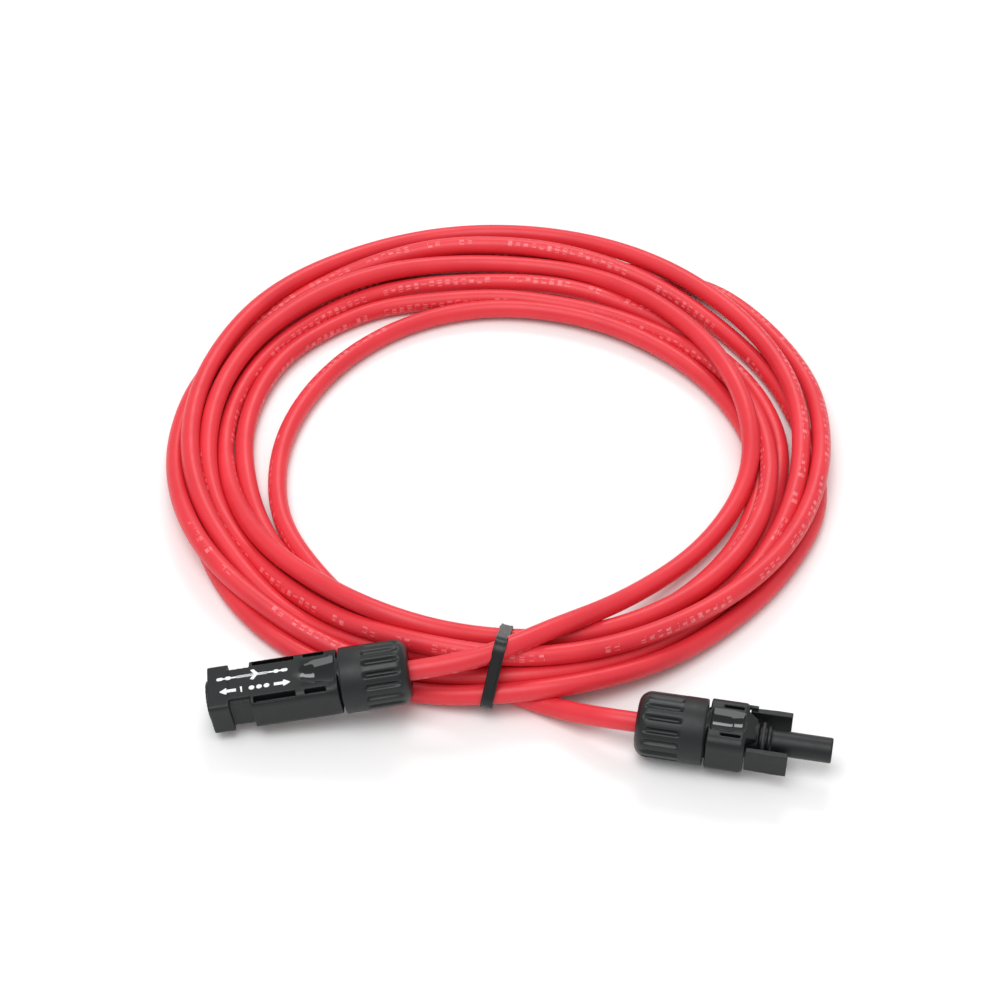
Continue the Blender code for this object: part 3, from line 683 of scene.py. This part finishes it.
ZT = TOP - 0.03
chevron = [(26.0, -4.1), (25.0, -4.3), (23.6, -2.5), (25.2, -0.4), (26.2, -0.8), (24.9, -2.4)]
films = [
    ('mark_line', bar(15.4, 35.4, -2.3, 0.55)), ('mark_line_a', bar(15.0, 17.0, -2.3, 1.15)), ('mark_line_b', bar(17.6, 19.2, -2.3, 1.3)),
    ('mark_line_c', bar(34.0, 36.0, -2.3, 1.15)), ('mark_line_d', bar(31.7, 33.5, -2.3, 1.3)), ('mark_line_e', bar(20.9, 30.2, -2.3, 0.85)),
    ('mark_lock', chevron),
    ('mark_arrow_nose', arrow(35.2, 30.3, 2.5, 1.1, 2.1)), ('mark_arrow_back', arrow(14.4, 19.2, 2.5, 1.1, 2.1)),
    ('mark_tick', [(28.6, 1.5), (29.2, 1.5), (28.9, 3.6), (28.5, 3.6)]),
    ('mark_block_a', bar(24.9, 26.6, 2.5, 1.5)), ('mark_block_b', bar(22.7, 24.4, 2.5, 1.5)), ('mark_block_c', bar(20.5, 22.2, 2.5, 1.5)),
]
for i, (name, outline) in enumerate(films):
    film(name, outline, MALE, ZT + 0.004 * (i % 5))

# ---- socket connector housing ----------------------------------------------------
fbody = rounded(9.0, 6.8, 3.0)
fwaist = rounded(8.7, 6.3, 2.8)
rings = tail_rings()
rings += [ring(0.65, rounded(8.7, 6.5, 3.4)), ring(0.9, fbody), ring(6.0, fbody), ring(10.9, fbody), ring(11.5, fwaist), ring(11.7, fwaist), ring(11.7, 5.3),
          ring(15.2, 5.0), ring(15.4, 4.1), ring(17.7, 4.1), ring(17.9, 4.6), ring(18.7, 4.6), ring(18.9, 3.7), ring(27.0, 3.7), ring(36.2, 3.7), ring(36.5, 3.45)]
rings += [ring(36.5, 2.95), ring(36.3, 2.85), ring(11.0, 2.85), ring(11.0, 2.5), ring(9.0, 2.5), ring(9.0, 4.3), ring(-3.6, 4.3), ring(-3.65, 6.0), ring(-10.0, 6.0)]
v, f = skin(rings, True)
sock_shell = solid('socket_housing', v, f, FEMALE)
slope = [(10.4, 5.3, 3.0), (10.4, 5.3, 6.4), (11.6, 5.1, 6.35), (14.6, 3.7, 4.7), (14.6, 3.7, 3.0)]
v, f = skin([[(x, -y, z) for x, y, z in slope], [(x, y, z) for x, y, z in slope]], False)
adds = [solid('d_slope', v, f, FEMALE), box('d_lever', (6.0, 6.8, 4.5), (14.2, 7.9, 5.7), FEMALE)]
cuts = [scoop('d_thumb', [(1.3, 4.4, 5.6), (7.4, 4.4, 5.4), (7.9, 4.3, 5.55), (10.5, 4.1, 5.85), (10.9, 4.0, 6.1), (12.4, 3.9, 7.4)], 7.0, FEMALE)]
for s, side in ((1, 'a'), (-1, 'b')):
    cuts.append(box('d_slot_' + side, (4.5, min(4.7 * s, 5.7 * s), 5.2), (10.2, max(4.7 * s, 5.7 * s), 12.0), FEMALE))
sock_shell = finish_mould(sock_shell, adds, cuts, VOX, 4, FEMALE,
                          lambda q: ramp(q.z, 4.9, 5.2) * (1 - ramp(abs(q.y), 4.3, 4.6)) * ramp(q.x, 1.2, 1.4) * (1 - ramp(q.x, 10.6, 11.4)) * (1 - ramp(q.z, 6.6, 6.8)), SHELL)
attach(sock_shell, 'root')
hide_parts('female_housing')

for s, body_name, node in ((-1, 'finger_front', 'female_latch_finger_front'), (1, 'finger_back', 'female_latch_finger_back')):
    plan = [(12.1, 6.6), (24.2, 6.6), (24.2, 8.45), (20.0, 8.5), (12.1, 8.2)]
    lo, hi = [(x, s * y, -4.3) for x, y in plan], [(x, s * y, 4.1) for x, y in plan]
    v, f = skin([lo, hi], False)
    ob = solid(node.replace('female_', 'socket_'), v, f, FEMALE)
    bev = ob.modifiers.new('edge', 'BEVEL')
    bev.width = 0.22 * MM
    bev.segments = 3
    bev.limit_method = 'ANGLE'
    ob.data.materials.append(SHELL)
    ob.data.shade_smooth()
    ob.data.set_sharp_from_angle(angle=radians(50))
    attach(ob, body_name)
    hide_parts(node)

# nose seal
prof = [(16.55 + 0.5 * cos(2 * pi * k / 24), 4.9 + 0.5 * sin(2 * pi * k / 24)) for k in range(24)]
v, f = skin([ring(x, r, 96) for x, r in prof], True)
seal = solid('nose_seal', v, f, FEMALE)
seal.data.materials.append(SEAL)
seal.data.shade_smooth()
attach(seal, 'root')
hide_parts('nose_o_ring')

# ---- pieces that keep their CAD shape ------------------------------------------
for node, mat in (('male_pin', TIN), ('female_socket', TIN), ('male_contact_clip', STEEL), ('female_contact_clip', STEEL), ('male_gland_seal', SEAL),
                  ('female_gland_seal', SEAL), ('male_clamp_cage', SHELL), ('female_clamp_cage', SHELL), ('male_conductor', COPPER), ('female_conductor', COPPER)):
    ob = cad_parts[node]
    ob = ob if hasattr(ob, 'material_slots') else bpy.data.objects[node]
    for sl in ob.material_slots:
        sl.material = mat

# ---- cable tie --------------------------------------------------------------------
TIE = Matrix.Translation((Vector((-1.6, -93.6, 0)) - SHIFT) * MM) @ Matrix.Rotation(radians(-102.0), 4, 'Z') @ Matrix.Rotation(radians(-7.0), 4, 'X') @ Matrix.Scale(MM, 4)


def tie_outline():
    """Closed line, outwards and up, that hugs the strands which cross the tie's plane."""
    inv = TIE.inverted()
    pts = []
    p = ROUTE
    loc = np.array([(inv @ ((Vector(q) - SHIFT) * MM))[:] for q in p])
    for i in range(len(loc) - 1):
        if loc[i, 1] * loc[i + 1, 1] <= 0 and abs(loc[i, 0]) < 25:
            t = loc[i, 1] / (loc[i, 1] - loc[i + 1, 1] + 1e-12)
            q = loc[i] + (loc[i + 1] - loc[i]) * t
            pts.append((q[0], q[2]))
    ring_pts = []
    for x, z in pts:
        for k in range(20):
            a = 2 * pi * k / 20
            ring_pts.append((x + 3.25 * cos(a), z + 3.08 * sin(a)))
    ring_pts = sorted(set((round(a, 4), round(b, 4)) for a, b in ring_pts))

    def half(seq):
        out = []
        for q in seq:
            while len(out) > 1 and (out[-1][0] - out[-2][0]) * (q[1] - out[-2][1]) - (out[-1][1] - out[-2][1]) * (q[0] - out[-2][0]) <= 0:
                out.pop()
            out.append(q)
        return out
    hull = half(ring_pts)[:-1] + half(ring_pts[::-1])[:-1]
    h = np.array(hull + [hull[0]])
    d = np.r_[0, np.cumsum(np.linalg.norm(np.diff(h, axis=0), axis=1))]
    t = np.linspace(0, d[-1], 97)[:-1]
    return np.stack([np.interp(t, d, h[:, 0]), np.interp(t, d, h[:, 1])], 1), pts


loop, crossing = tie_outline()
print('strands through the tie', len(crossing), [tuple(round(float(c), 1) for c in q) for q in crossing])
nrm = np.roll(loop, -1, 0) - np.roll(loop, 1, 0)
nrm = np.stack([nrm[:, 1], -nrm[:, 0]], 1)
nrm /= np.linalg.norm(nrm, axis=1)[:, None]
if (nrm * (loop - loop.mean(0))).sum() < 0:
    nrm = -nrm
sect = [(-1.8, 0.12), (-1.66, 0.0), (1.66, 0.0), (1.8, 0.12), (1.8, 0.86), (1.6, 1.05), (1.25, 1.05), (1.1, 0.92), (-1.1, 0.92), (-1.25, 1.05), (-1.6, 1.05), (-1.8, 0.86)]
verts, faces = [], []
ns, nl = len(sect), len(loop)
for q, nn in zip(loop, nrm):
    for y, h in sect:
        a = q + nn * h
        verts.append((a[0], y, max(a[1], 0.02)))
for i in range(nl):
    for k in range(ns):
        faces.append((i * ns + k, i * ns + (k + 1) % ns, ((i + 1) % nl) * ns + (k + 1) % ns, ((i + 1) % nl) * ns + k))
strap = solid('tie_strap', verts, faces, TIE)
strap.data.materials.append(NYLON)
strap.data.shade_smooth()
strap.data.set_sharp_from_angle(angle=radians(40))
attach(strap, 'root')

hx = float(loop[:, 0].min())
head = box('tie_head', (hx - 5.4, -2.6, 0.4), (hx - 1.0, 2.6, 5.4), TIE)
slot_cut = box('e_slot', (hx - 4.2, -2.0, 0.1), (hx - 2.6, 2.0, 6.0), TIE)
head = finish_mould(head, [], [slot_cut], 0.18, 3, TIE, lambda q: 0.2, NYLON)
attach(head, 'root')
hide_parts('cable_tie')

# ---- floor, light ------------------------------------------------------------------
fm = Nodes('floor_pale')
fm.b.inputs['Base Color'].default_value = (0.93, 0.93, 0.93, 1)
fm.put(fm.b, 'Roughness', fm.math('MULTIPLY_ADD', fm.noise(fm.coords(), 30.0, 3.0), 0.06, 0.62))
fm.b.inputs['Specular IOR Level'].default_value = 0.2
me = bpy.data.meshes.new('floor')
me.from_pydata([(-6, -6, -0.0002), (6, -6, -0.0002), (6, 6, -0.0002), (-6, 6, -0.0002)], [], [(0, 1, 2, 3)])
me.materials.append(fm.m)
floor = bpy.data.objects.new('floor', me)
scene.collection.objects.link(floor)

world = bpy.data.worlds.new('studio')
world.use_nodes = True
world.node_tree.nodes['Background'].inputs[0].default_value = (1.0, 1.0, 1.0, 1)
world.node_tree.nodes['Background'].inputs[1].default_value = 0.62
scene.world = world


def area(name, at, aim, size, power, colour=(1, 1, 1)):
    li = bpy.data.lights.new(name, 'AREA')
    li.shape = 'RECTANGLE'
    li.size, li.size_y = size
    li.energy = power
    li.color = colour
    ob = bpy.data.objects.new(name, li)
    scene.collection.objects.link(ob)
    ob.location = at
    ob.rotation_euler = (Vector(aim) - Vector(at)).to_track_quat('-Z', 'Y').to_euler()
    return ob


mid = Vector((0, 0.09, 0.01))
area('top_box', (-0.25, -0.25, 1.35), mid, (1.0, 0.9), 11)
area('back_box', (0.1, 1.05, 1.0), mid, (0.55, 0.34), 4.5)
